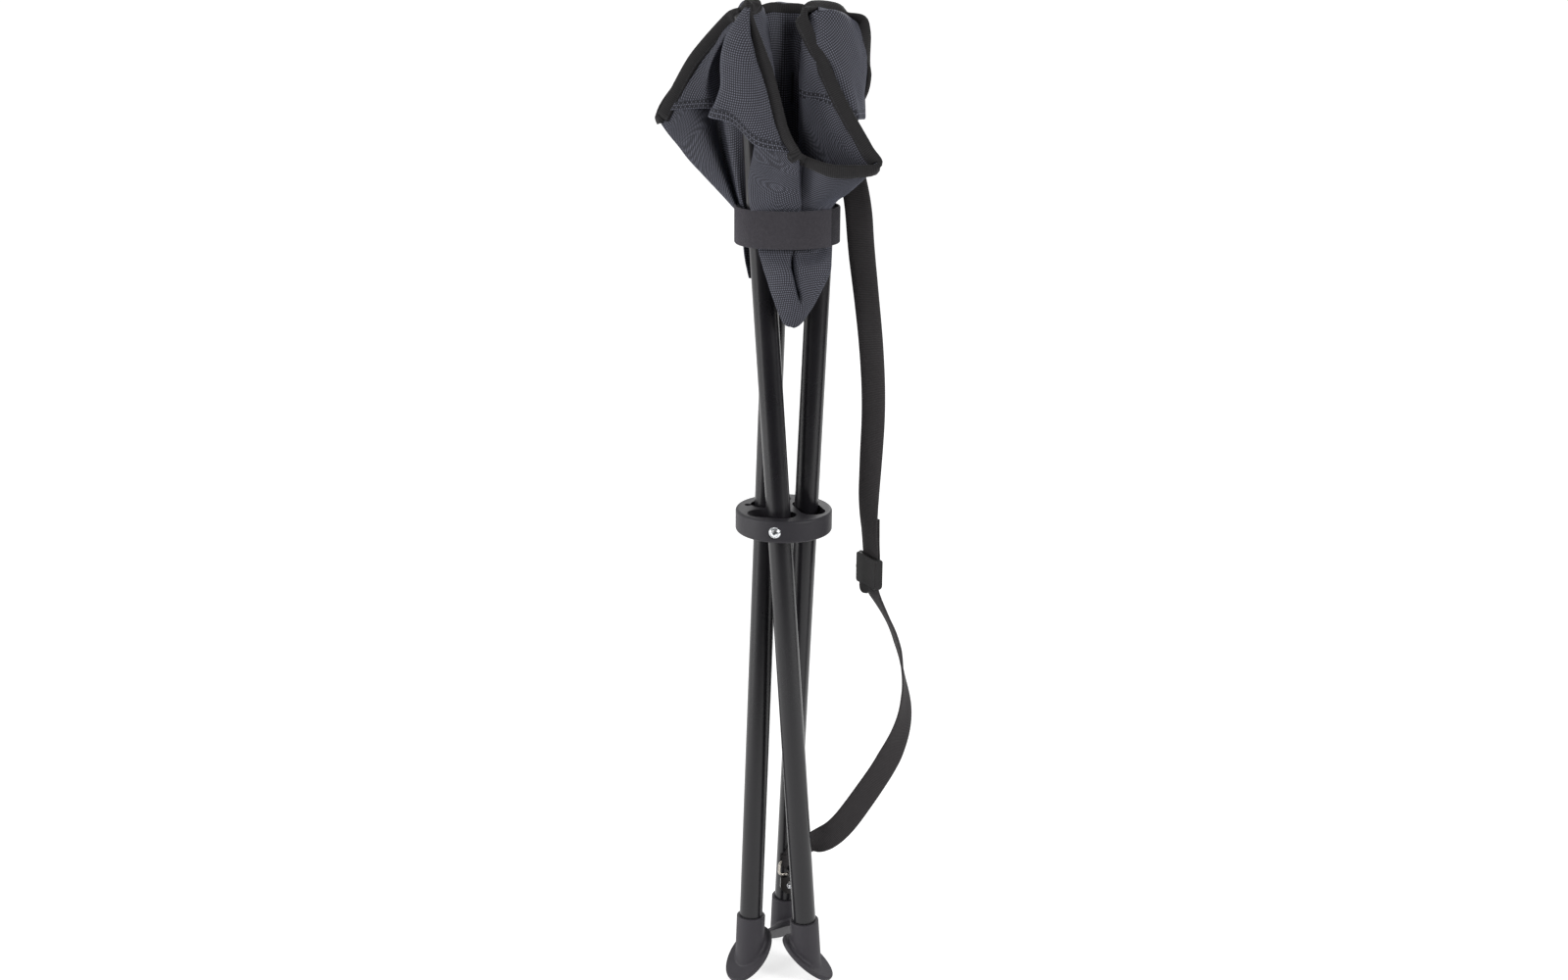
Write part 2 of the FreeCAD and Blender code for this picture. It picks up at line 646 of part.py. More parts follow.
print("hub height", round(hub_height, 3))
for route in (upper_route, lower_route):
    radii = []
    for (a, _), (b, _), (c, _) in zip(route, route[1:], route[2:]):
        half_turn = (b - a).getAngle(c - b) / 2
        radii.append(round(0.45 * min((b - a).Length, (c - b).Length) / math.tan(half_turn), 1))
    print("strap bend radii", radii)
for name in leg_names:
    space = rivet_space(name)
    axis = space.Rotation.multVec(Vector(1, 0, 0))
    print("pivot", name, [round(v, 4) for v in space.Base], "axis", [round(v, 6) for v in axis])
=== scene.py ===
import math

import bpy
from mathutils import Matrix, Vector, noise


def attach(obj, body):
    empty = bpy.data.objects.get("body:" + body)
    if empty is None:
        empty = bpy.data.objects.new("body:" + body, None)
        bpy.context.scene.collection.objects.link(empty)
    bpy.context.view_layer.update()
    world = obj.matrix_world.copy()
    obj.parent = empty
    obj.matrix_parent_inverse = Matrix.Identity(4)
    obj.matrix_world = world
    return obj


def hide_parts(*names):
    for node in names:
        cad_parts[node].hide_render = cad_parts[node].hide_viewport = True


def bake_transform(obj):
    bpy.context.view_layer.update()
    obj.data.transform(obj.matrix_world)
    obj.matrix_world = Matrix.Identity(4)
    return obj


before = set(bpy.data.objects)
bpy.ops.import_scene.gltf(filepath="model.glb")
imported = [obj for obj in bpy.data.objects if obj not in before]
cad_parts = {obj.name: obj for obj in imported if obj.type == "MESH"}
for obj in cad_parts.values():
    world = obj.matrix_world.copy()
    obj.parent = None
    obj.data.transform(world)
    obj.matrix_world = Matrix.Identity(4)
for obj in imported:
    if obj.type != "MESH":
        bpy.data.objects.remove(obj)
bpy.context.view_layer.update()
bpy.ops.object.select_all(action="DESELECT")
scene = bpy.context.scene
scene.view_settings.view_transform = "Standard"

# Camera at the photograph's viewing angle, and points placed by where they show in its 1600 x 1000 picture
picture_width, picture_height = 1600, 1000
lens, sensor = 48.105, 36.0
camera_place = Vector((0.0, -1.3303, 0.7576))
camera_turn = Matrix.Rotation(math.radians(73.125), 4, "X") @ Matrix.Rotation(math.radians(0.493), 4, "Z")

camera_data = bpy.data.cameras.new("photo_camera")
camera_data.lens = lens
camera_data.sensor_width = sensor
camera = bpy.data.objects.new("photo_camera", camera_data)
camera.matrix_world = Matrix.Translation(camera_place) @ camera_turn
scene.collection.objects.link(camera)
scene.camera = camera


def seen(across, down, depth):
    """Point of the camera's ray through a place in the picture, depth millimetres behind the hub's axis."""
    focal = lens / sensor * picture_width
    right = (across - picture_width / 2) / focal
    up = (picture_height / 2 - down) / focal
    ray = camera_turn.to_3x3() @ Vector((right, up, -1))
    return camera_place + ray * ((depth / 1000 - camera_place.y) / ray.y)


def mm(x, y, z):
    return Vector((x, y, z)) / 1000


# Smooth lines and grids through given points
def through(points, place, closed=False):
    """Point of a smooth line through the points, place counted in points from the first."""
    count = len(points)
    start = math.floor(place)
    if not closed:
        start = min(max(start, 0), count - 2)
    part = place - start
    near = []
    for k in range(start - 1, start + 3):
        near.append(points[k % count] if closed else points[min(max(k, 0), count - 1)])
    a, b, c, d = near
    return (b * 2 + (c - a) * part + (a * 2 - b * 5 + c * 4 - d) * part ** 2
            + (b * 3 - a - c * 3 + d) * part ** 3) * 0.5


def grid_through(lines, steps_across, steps_down, closed=False):
    """Rows of points on a smooth surface; each line runs from the top edge down."""
    rows = list(zip(*lines))
    count = len(lines)
    wide = []
    for row in rows:
        places = count * steps_across if closed else (count - 1) * steps_across + 1
        wide.append([through(row, k / steps_across, closed) for k in range(places)])
    tall = []
    for k in range((len(rows) - 1) * steps_down + 1):
        tall.append([through([row[i] for row in wide], k / steps_down) for i in range(len(wide[0]))])
    return tall


def grid_normal(grid, row, column, closed=False):
    width = len(grid[0])
    if closed:
        left, right = grid[row][column - 1], grid[row][(column + 1) % width]
    else:
        left, right = grid[row][max(column - 1, 0)], grid[row][min(column + 1, width - 1)]
    above, below = grid[max(row - 1, 0)][column], grid[min(row + 1, len(grid) - 1)][column]
    normal = (right - left).cross(above - below)
    return normal.normalized() if normal.length > 1e-12 else Vector((0, -1, 0))


def rumpled(grid, height, size, seed, closed=False):
    """The grid with soft random creases, height and size in millimetres."""
    result = []
    for r, row in enumerate(grid):
        moved = []
        for c, point in enumerate(row):
            place = point * (1000 / size) + Vector((seed, 2 * seed, 3 * seed))
            rise = noise.noise(place) + 0.5 * noise.noise(place * 2.3)
            moved.append(point + grid_normal(grid, r, c, closed) * (rise * height / 1000))
        result.append(moved)
    return result


def mesh_piece(name, points, faces, coordinates, finish):
    """A mesh object with one texture coordinate, in metres of cloth, for each point."""
    mesh = bpy.data.meshes.new(name)
    mesh.from_pydata([tuple(p) for p in points], [], faces)
    layer = mesh.uv_layers.new(name="cloth")
    for loop in mesh.loops:
        layer.data[loop.index].uv = coordinates[loop.vertex_index]
    piece = bpy.data.objects.new(name, mesh)
    scene.collection.objects.link(piece)
    mesh.materials.append(finish)
    for polygon in mesh.polygons:
        polygon.use_smooth = True
    return piece


def apply_modifiers(piece):
    bpy.ops.object.select_all(action="DESELECT")
    bpy.context.view_layer.objects.active = piece
    piece.select_set(True)
    for modifier in list(piece.modifiers):
        bpy.ops.object.modifier_apply(modifier=modifier.name)
    piece.select_set(False)


def cloth_piece(name, grid, finish, thickness, reference=0, wrap=False):
    """A sheet of cloth on a grid, with its weave measured along the cloth from one of its columns."""
    height, width = len(grid), len(grid[0])
    points = [point for row in grid for point in row]
    across = []
    for row in grid:
        places = [0.0] * width
        for c in range(reference + 1, width):
            places[c] = places[c - 1] + (row[c] - row[c - 1]).length
        for c in range(reference - 1, -1, -1):
            places[c] = places[c + 1] - (row[c] - row[c + 1]).length
        across.append(places)
    down = [[0.0] * width]
    for r in range(1, height):
        down.append([down[r - 1][c] + (grid[r][c] - grid[r - 1][c]).length for c in range(width)])
    coordinates = [(across[r][c], down[r][c]) for r in range(height) for c in range(width)]
    faces = []
    for r in range(height - 1):
        for c in range(width if wrap else width - 1):
            n = (c + 1) % width
            faces.append((r * width + c, (r + 1) * width + c, (r + 1) * width + n, r * width + n))
    piece = mesh_piece(name, points, faces, coordinates, finish)
    solid = piece.modifiers.new("thickness", "SOLIDIFY")
    solid.thickness = thickness / 1000
    solid.offset = 0
    apply_modifiers(piece)
    return piece


def edging(name, places, finish, profile):
    """A folded tape along an edge: places are (point, inward, normal); profile is (inward mm, normal mm)."""
    points, coordinates, faces = [], [], []
    count = len(profile)
    run = 0.0
    for i, (point, inward, normal) in enumerate(places):
        if i:
            run += (point - places[i - 1][0]).length
        for s, n in profile:
            points.append(point + inward * (s / 1000) + normal * (n / 1000))
            coordinates.append((run, s / 1000))
    for i in range(len(places) - 1):
        for k in range(count):
            n = (k + 1) % count
            faces.append((i * count + k, i * count + n, (i + 1) * count + n, (i + 1) * count + k))
    faces.append(tuple(range(count))[::-1])
    faces.append(tuple((len(places) - 1) * count + k for k in range(count)))
    return mesh_piece(name, points, faces, coordinates, finish)


# Finishes
class Nodes:
    """A short way to lay out the nodes of one finish."""

    def __init__(self, name):
        self.material = bpy.data.materials.new(name)
        self.material.use_nodes = True
        self.tree = self.material.node_tree
        self.shader = self.tree.nodes["Principled BSDF"]

    def add(self, kind, inputs=None, **settings):
        node = self.tree.nodes.new(kind)
        for key, value in settings.items():
            setattr(node, key, value)
        for key, value in (inputs or {}).items():
            self.feed(node, key, value)
        return node

    def feed(self, node, key, value):
        socket = node.inputs[key]
        if isinstance(value, bpy.types.NodeSocket):
            self.tree.links.new(value, socket)
        else:
            socket.default_value = value

    def math(self, operation, a, b=0.0):
        return self.add("ShaderNodeMath", {0: a, 1: b}, operation=operation).outputs[0]

    def mix(self, share, low, high):
        node = self.add("ShaderNodeMix", data_type="RGBA")
        self.feed(node, 0, share)
        self.feed(node, 6, low)
        self.feed(node, 7, high)
        return node.outputs[2]

    def place(self, kind):
        return self.add("ShaderNodeTexCoord").outputs[kind]

    def noise(self, vector, scale, detail=2.0, roughness=0.5):
        inputs = {"Vector": vector, "Scale": scale, "Detail": detail, "Roughness": roughness}
        return self.add("ShaderNodeTexNoise", inputs).outputs[0]

    def spread(self, value, low, high):
        node = self.add("ShaderNodeMapRange", {"Value": value, "To Min": low, "To Max": high})
        return node.outputs[0]

    def bump(self, height, strength, distance):
        node = self.add("ShaderNodeBump", {"Height": height, "Strength": strength, "Distance": distance})
        self.feed(self.shader, "Normal", node.outputs[0])

    def set(self, **values):
        for key, value in values.items():
            self.feed(self.shader, key.replace("_", " "), value)


def painted_tube():
    n = Nodes("black_tube")
    place = n.place("Object")
    fine = n.noise(place, 900, 3)
    broad = n.noise(place, 35, 3)
    n.set(Base_Color=n.mix(broad, (0.007, 0.0065, 0.0082, 1), (0.0105, 0.0098, 0.0122, 1)))
    n.set(Roughness=n.spread(broad, 0.24, 0.32), Specular_IOR_Level=0.45)
    n.bump(fine, 0.04, 0.0002)
    return n.material


def moulded(name, low, high, roughness, grain):
    n = Nodes(name)
    place = n.place("Object")
    fine = n.noise(place, grain, 4, 0.6)
    broad = n.noise(place, 60, 3)
    n.set(Base_Color=n.mix(broad, low, high), Specular_IOR_Level=0.3)
    n.set(Roughness=n.spread(fine, roughness - 0.06, roughness + 0.08))
    n.bump(fine, 0.25, 0.0003)
    return n.material


def bright_metal(name, colour, roughness):
    n = Nodes(name)
    scratch = n.noise(n.place("Object"), 1400, 3, 0.6)
    n.set(Metallic=1.0, Base_Color=colour, Roughness=n.spread(scratch, roughness * 0.7, roughness * 1.4))
    n.bump(scratch, 0.08, 0.0001)
    return n.material


stitch_pitch, stitch_gap, thread = 0.003, 0.0008, 0.0007


def stitch_rows(n, split, rows):
    """A mask of dashed lines at the given distances from an edge, in metres."""
    dash = n.math("GREATER_THAN", n.math("PINGPONG", split.outputs[0], stitch_pitch / 2), stitch_gap / 2)
    mask = 0.0
    for row in rows:
        near = n.add("ShaderNodeMath", {0: split.outputs[1], 1: row, 2: thread / 2}, operation="COMPARE")
        mask = n.math("MAXIMUM", near.outputs[0], mask)
    return n.math("MULTIPLY", mask, dash)


def seat_cloth(name, rows=()):
    """Two-tone mini-check, pale blue-grey floats on a near-black ground, with rows of stitches if any."""
    n = Nodes(name)
    split = n.add("ShaderNodeSeparateXYZ", {0: n.place("UV")})
    pitch = 0.0015
    waves = []
    for axis in (0, 1):
        wave = n.math("COSINE", n.math("MULTIPLY", split.outputs[axis], 2 * math.pi / pitch))
        waves.append(n.math("ADD", n.math("MULTIPLY", wave, 0.5), 0.5))
    dots = n.math("MULTIPLY", waves[0], waves[1])
    wear = n.noise(n.place("Object"), 70, 3)
    pale = n.mix(wear, (0.15, 0.155, 0.195, 1), (0.19, 0.196, 0.245, 1))
    colour = n.mix(dots, (0.021, 0.0208, 0.025, 1), pale)
    height = dots
    if rows:
        stitches = stitch_rows(n, split, rows)
        colour = n.mix(stitches, colour, (0.014, 0.014, 0.017, 1))
        height = n.math("ADD", dots, n.math("MULTIPLY", stitches, 0.6))
    n.set(Base_Color=colour, Roughness=0.75, Specular_IOR_Level=0.2)
    n.set(Sheen_Weight=0.08, Sheen_Roughness=0.4, Sheen_Tint=(0.5, 0.6, 0.9, 1))
    n.bump(height, 0.35, 0.0003)
    return n.material


def ribbed_tape(name, dark, pale, pitch, rows=()):
    """Woven tape with fine cross ribs, and rows of stitches if any."""
    n = Nodes(name)
    split = n.add("ShaderNodeSeparateXYZ", {0: n.place("UV")})
    wave = n.math("COSINE", n.math("MULTIPLY", split.outputs[0], 2 * math.pi / pitch))
    ribs = n.math("ADD", n.math("MULTIPLY", wave, 0.5), 0.5)
    patches = n.noise(n.place("Object"), 150, 3)
    colour = n.mix(n.math("MULTIPLY", ribs, n.spread(patches, 0.6, 1.3)), dark, pale)
    if rows:
        colour = n.mix(stitch_rows(n, split, rows), colour, (0.03, 0.03, 0.033, 1))
    n.set(Base_Color=colour, Roughness=0.8, Sheen_Weight=0.05, Specular_IOR_Level=0.2)
    n.bump(ribs, 0.4, 0.0003)
    return n.material


def loop_fabric(name, low, high):
    """Fuzzy fastening fabric."""
    n = Nodes(name)
    place = n.place("Object")
    fuzz = n.noise(place, 900, 4, 0.7)
    patches = n.noise(place, 500, 4, 0.7)
    n.set(Base_Color=n.mix(n.spread(patches, -0.4, 1.4), low, high))
    n.set(Roughness=0.95, Specular_IOR_Level=0.15)
    n.set(Sheen_Weight=0.25, Sheen_Roughness=0.6, Sheen_Tint=(0.6, 0.58, 0.65, 1))
    n.bump(fuzz, 0.8, 0.0006)
    return n.material


def glossy_tab():
    n = Nodes("tab_leather")
    grain = n.noise(n.place("Object"), 800, 3)
    n.set(Base_Color=n.mix(grain, (0.012, 0.011, 0.011, 1), (0.02, 0.018, 0.017, 1)))
    n.set(Roughness=0.28, Coat_Weight=0.3)
    n.bump(grain, 0.15, 0.0002)
    return n.material


tube_finish = painted_tube()
hub_finish = moulded("hub_plastic", (0.022, 0.0206, 0.025, 1), (0.03, 0.028, 0.0335, 1), 0.5, 1600)
foot_finish = moulded("foot_plastic", (0.033, 0.0306, 0.0365, 1), (0.043, 0.0402, 0.047, 1), 0.55, 1300)
plug_finish = moulded("plug_plastic", (0.015, 0.015, 0.016, 1), (0.022, 0.022, 0.024, 1), 0.6, 1300)
slider_finish = moulded("slider_plastic", (0.009, 0.0083, 0.0088, 1), (0.013, 0.012, 0.0128, 1), 0.55, 900)
zinc_finish = bright_metal("zinc", (0.8, 0.82, 0.84, 1), 0.25)
screw_finish = bright_metal("screw_steel", (0.82, 0.83, 0.86, 1), 0.18)
nickel_finish = bright_metal("nickel_wire", (0.72, 0.67, 0.6, 1), 0.22)
cloth_finish = seat_cloth("seat_cloth")
hem_finish = seat_cloth("seat_hem", (0.0015, 0.0045))
binding_finish = ribbed_tape(
    "binding_tape", (0.011, 0.0106, 0.0112, 1), (0.026, 0.0248, 0.026, 1), 0.0012, (0.0062,))
web_finish = ribbed_tape("webbing", (0.028, 0.0256, 0.027, 1), (0.05, 0.046, 0.048, 1), 0.0011)
lap_finish = loop_fabric("loop_fabric", (0.029, 0.027, 0.0315, 1), (0.047, 0.0435, 0.05, 1))
band_finish = loop_fabric("hook_fabric", (0.008, 0.008, 0.009, 1), (0.014, 0.013, 0.015, 1))
tab_finish = glossy_tab()

node_finishes = {
    "hub": hub_finish, "pivot_rivets": zinc_finish, "strap_tab": tab_finish, "tab_screw": screw_finish,
    "strap_ring": nickel_finish, "strap_slider": slider_finish}
for leg in "abc":
    node_finishes["leg_tube_" + leg] = tube_finish
    node_finishes["leg_plug_" + leg] = plug_finish
    node_finishes["foot_" + leg] = foot_finish
for node, finish in node_finishes.items():
    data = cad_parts[node].data
    data.materials.clear()
    data.materials.append(finish)

# Shoulder strap: webbing along the route of the CAD solid, each point with the way its width lies in degrees
upper_route = (
    (mm(35, 8.2, 592), -33), (mm(40.5, 7, 568), -25), (mm(46, 4, 544), -18), (mm(48, 2, 517), -22),
    (mm(52, 0, 486), -29), (mm(56.2, -2, 450), -32), (mm(58.5, -2, 412), -35), (mm(57, -2, 374), -38),
    (mm(55.8, -2, 342), -45), (mm(57.9, -1.3, 318), -57), (mm(58.54, -1, 305.1), -60))
lower_route = (
    (mm(58.54, -1, 291.9), -60), (mm(59.4, -0.6, 285), -63), (mm(66, -1.2, 273), -74), (mm(77, 0, 251), -78),
    (mm(83, 2, 220), -98), (mm(85, 3, 190), -132), (mm(75, 3, 160), -165), (mm(57, 3, 130), -174),
    (mm(41, 4.5, 105), -181), (mm(27, 6, 94.5), -190), (mm(14, 7.4, 91.5), -178),
    (mm(9.6, 8.9, 81.2), -160.7))
web_width, web_thickness = 18.0, 1.4


def route_line(route):
    """Points of the smooth spline whose control points are the route's."""
    curve = bpy.data.curves.new("route", "CURVE")
    curve.dimensions = "3D"
    curve.resolution_u = 10
    spline = curve.splines.new("NURBS")
    spline.points.add(len(route) - 1)
    for point, (place, turn) in zip(spline.points, route):
        point.co = (*place, 1)
    spline.order_u = 3
    spline.use_endpoint_u = True
    line = bpy.data.objects.new("route", curve)
    scene.collection.objects.link(line)
    bpy.context.view_layer.update()
    mesh = bpy.data.meshes.new_from_object(line)
    points = [v.co.copy() for v in mesh.vertices]
    bpy.data.objects.remove(line)
    bpy.data.meshes.remove(mesh)
    return points


def webbing(name, route):
    """A flat woven band with rounded edges along a route."""
    line = route_line(route)
    turns = [turn for place, turn in route]
    points, coordinates, faces = [], [], []
    profile = (
        (-0.5, -0.25), (-0.46, -0.5), (-0.25, -0.55), (0, -0.5), (0.25, -0.55), (0.46, -0.5), (0.5, -0.25),
        (0.5, 0.25), (0.46, 0.5), (0.25, 0.55), (0, 0.5), (-0.25, 0.55), (-0.46, 0.5), (-0.5, 0.25))
    count = len(profile)
    run = 0.0
    for i, point in enumerate(line):
        ahead = (line[min(i + 1, len(line) - 1)] - line[max(i - 1, 0)]).normalized()
        if i:
            run += (point - line[i - 1]).length
        share = i / (len(line) - 1) * (len(turns) - 1)
        k = min(int(share), len(turns) - 2)
        angle = math.radians(turns[k] + (turns[k + 1] - turns[k]) * (share - k))
        wide = Vector((math.cos(angle), math.sin(angle), 0))
        thick = ahead.cross(wide).normalized()
        wide = thick.cross(ahead).normalized()
        for w, t in profile:
            points.append(point + wide * (w * web_width / 1000) + thick * (t * web_thickness / 1000))
            coordinates.append((run, w * web_width / 1000))
    for i in range(len(line) - 1):
        for k in range(count):
            n = (k + 1) % count
            faces.append((i * count + k, i * count + n, (i + 1) * count + n, (i + 1) * count + k))
    faces.append(tuple(range(count))[::-1])
    faces.append(tuple((len(line) - 1) * count + k for k in range(count)))
    piece = mesh_piece(name, points, faces, coordinates, web_finish)
    length = sum((b - a).length for a, b in zip(line, line[1:]))
    return piece, line, length


upper_web, upper_line, upper_length = webbing("shoulder_web_upper", upper_route)
lower_web, lower_line, lower_length = webbing("shoulder_web_lower", lower_route)

# The upper strap's end, turned up behind it and sewn, and the lower strap's turn round the ring's top bar
sewn_route = (
    (mm(57.2, -0.8, 336), -46), (mm(57.7, -0.6, 328), -51), (mm(59, -0.5, 317), -57),
    (mm(59.8, -0.2, 306), -60))
sewn_end = webbing("shoulder_web_end", sewn_route)[0]
bar_middle = mm(8.66, 9.59, 77.92)
bar_front = mm(0.33, -0.94, 0)
bar_turn = 19.3
turn_route = []
for forward, up in ((1.7, 6.0), (1.9, 1.0), (2.2, -2.2), (-2.2, -2.2), (-1.9, 1.0), (-1.7, 6.0)):
    turn_route.append((bar_middle + bar_front * forward + mm(0, 0, up), bar_turn))
ring_turn = webbing("shoulder_web_turn", turn_route)[0]

# Seat cloth: a cup with the three legs in valleys round it; each line runs from the rim to the closure strap
cup_lines = (
    (mm(-23, -24, 670), mm(-15, -4.5, 663), mm(-12.5, -8.5, 610), mm(-10.5, -8.5, 572), mm(-8.4, -8.6, 541)),
    (seen(764, 8, -28), seen(781, 42, -20), seen(791, 88, -20), mm(-8, -20.5, 570), mm(-6.6, -20.5, 541)),
    (seen(787, 72, -36), seen(780, 112, -34), seen(770, 150, -31), seen(765, 182, -29.5),
     seen(767, 214, -28.5)),
    (seen(803, 130, -44), seen(797, 153, -43), seen(793, 172, -41), seen(790, 192, -37), seen(789, 213, -32)),
    (seen(813, 152, -51), seen(814, 166, -47), seen(814, 180, -43), seen(813, 196, -38), seen(812, 213, -31)),
    (seen(822, 161, -47), seen(819, 172, -38), seen(818, 184, -34), seen(818, 198, -31), seen(818, 213, -27)),
    (seen(852, 170, -53), seen(851, 179, -50), seen(848, 189, -45), seen(843, 200, -37), seen(836, 211, -28)),
    (seen(896, 168, -54), seen(888, 176, -49), seen(877, 187, -41), seen(864, 198, -30), seen(851, 208, -19)),
    (seen(887, 148, -49), seen(873, 163, -44), seen(857, 179, -36), seen(842, 195, -26), seen(828, 209, -16)),
    (seen(861, 101, -39), seen(849, 137, -38), seen(838, 167, -33), seen(829, 191, -23), seen(821, 210, -14)),
    (seen(840, 54, -31), seen(830, 100, -31), seen(823, 146, -29), seen(820, 183, -20), seen(818, 211, -12)),
    (seen(821, 13, -28), seen(817, 60, -25), seen(816, 110, -24), seen(815, 165, -17), seen(815, 211, -10)),
    (seen(832, 9, -20), mm(15.5, -6.5, 664), mm(14.3, -4.8, 600), mm(13.2, -3, 568), mm(12, -1.5, 541)),
    (seen(858, 14, -6), mm(31, 0, 661), mm(28, 2, 602), mm(26, 4, 568), mm(24, 5.5, 541)),
    (seen(884, 20, -7), seen(880, 62, -4), seen(873, 112, -1), seen(862, 165, 1), seen(851, 206, 3)),
    (seen(884, 60, -2), seen(879, 95, -1), seen(872, 130, 1), seen(861, 172, 3), seen(849, 206, 5)),
    (seen(874, 96, 5), seen(871, 124, 5), seen(867, 150, 4), seen(857, 180, 6), seen(845, 205, 8)),
    (mm(40, 10, 634), mm(37, 11, 610), mm(32, 12, 588), mm(26, 12.5, 564), mm(19, 13.5, 541)),
    (seen(830, 11, 22), mm(9, 26, 632), mm(7.5, 24.5, 600), mm(6, 22.5, 568), mm(5, 21, 541)),
    (seen(800, 4.5, 20), mm(-2.6, 16.5, 645), mm(-3.6, 13.8, 602), mm(-4.4, 12.2, 568), mm(-5.2, 11, 541)),
    (seen(778, 6, 24), mm(-14.5, 24.5, 632), mm(-15, 22, 600), mm(-15.5, 20, 568), mm(-16, 18.5, 541)),
    (mm(-42, 24, 652), mm(-42, 20, 625), mm(-39, 17, 598), mm(-33, 14.5, 566), mm(-25, 12.5, 541)),
    (mm(-77, 14, 610), mm(-68, 12, 592), mm(-58, 10.5, 576), mm(-45, 9, 560), mm(-31, 7, 541)),
    (seen(673, 116, 9), seen(682, 134, 7), seen(697, 153, 5), seen(718, 179, 2), seen(749, 212, 0)),
    (seen(704, 59, 4), seen(704, 100, 3), seen(721, 138, -2), seen(737, 176, -6), seen(752, 213, -6)),
    (seen(738, 19, -7), seen(734, 75, 9), seen(733, 132, 10), seen(742, 176, 7), seen(755, 213, -1)),
    (seen(748, 11, -12), seen(745, 72, 1), seen(744, 130, -2), seen(750, 176, -6), seen(759, 213, -9)),
    (seen(757, 9, -16), mm(-29, -5, 663.5), mm(-26.4, -5.7, 602), mm(-24.2, -5.5, 568), mm(-22.4, -5.5, 541)))
bundle_middle = Vector((0.0, -0.003, 0.0))
gather_steps = ((0.8, 0.534), (0.79, 0.516), (0.55, 0.507), (0.05, 0.503))


def gathered(lines):
    """Each line carried on under the closure strap and drawn in to a soft bottom.

    A step is the share of the way out from the bundle's middle, and the height in metres.
    """
    full = []
    for line in lines:
        foot = line[-1]
        out = Vector((foot.x, foot.y, 0)) - bundle_middle
        tail = []
        for share, height in gather_steps:
            place = bundle_middle + out * share
            tail.append(Vector((place.x, place.y, height)))
        full.append(tuple(line) + tuple(tail))
    return full


per_line, per_row = 8, 6
cup = grid_through(gathered(cup_lines), per_line, per_row, closed=True)
cup = rumpled(cup, height=0.8, size=24, seed=3.7, closed=True)
around = len(cup[0])
cloth_thickness, patch_thickness = 1.0, 0.9

# Each leg's share of the cup, from one line to another, and the line behind the leg
sector_lines = {"a": (23, 33), "c": (5, 16), "b": (16, 23)}
leg_line = {"a": 28, "c": 12, "b": 19}

# Edge tape: its profile, and how far it reaches over the cloth beside each leg
tape_profile = (
    (-1.1, 0.4), (-0.7, 1.5), (0.4, 2.1), (3.5, 2.3), (7.0, 2.1), (7.7, 1.6), (7.7, -0.9), (7.0, -1.35),
    (3.5, -1.45), (0.4, -1.35), (-0.7, -0.8))
tape_reach = {"a": 1.0, "c": 1.0, "b": 0.7}


def rim_place(column):
    """Rim point at a column, with the way square to the rim into the cloth and the way out of the cup.

    Where the cloth runs along the rim, at a corner's tip, the way in is taken from farther down.
    """
    along = (cup[0][(column + 1) % around] - cup[0][column - 1]).normalized()
    near = cup[2][column] - cup[0][column]
    square = near - along * near.dot(along)
    share = min(max((square.length / near.length - 0.4) / 0.4, 0), 1)
    far = cup[2 * per_row][column] - cup[0][column]
    far = (far - along * far.dot(along)).normalized()
    inward = far.lerp(square.normalized(), share).normalized()
    return cup[0][column], inward, inward.cross(along)


cloth_parts, binding_parts = {}, {}
for leg, (first, last) in sector_lines.items():
    columns = [c % around for c in range(first * per_line, last * per_line + 1)]
    part = [[row[c] for c in columns] for row in cup]
    middle = (leg_line[leg] - first) * per_line
    cloth_parts[leg] = cloth_piece("seat_" + leg, part, cloth_finish, cloth_thickness, middle)
    profile = [(inward * tape_reach[leg], out) for inward, out in tape_profile]
    binding_parts[leg] = edging("edge_tape_" + leg, [rim_place(c) for c in columns], binding_finish, profile)

# Corner pockets: a patch sewn under two bindings, from the corner's tip down to its hem
pocket_lift, pocket_inset = 0.0011, 0.006


def under_binding(first, last):
    """Five places along the rim, just outside the panel and inside the edge of the binding."""
    places = []
    for k in range(5):
        column = round((first + (last - first) * k / 4) * per_line) % around
        point, inward, outward = rim_place(column)
        places.append(point + outward * pocket_lift + inward * pocket_inset)
    return places


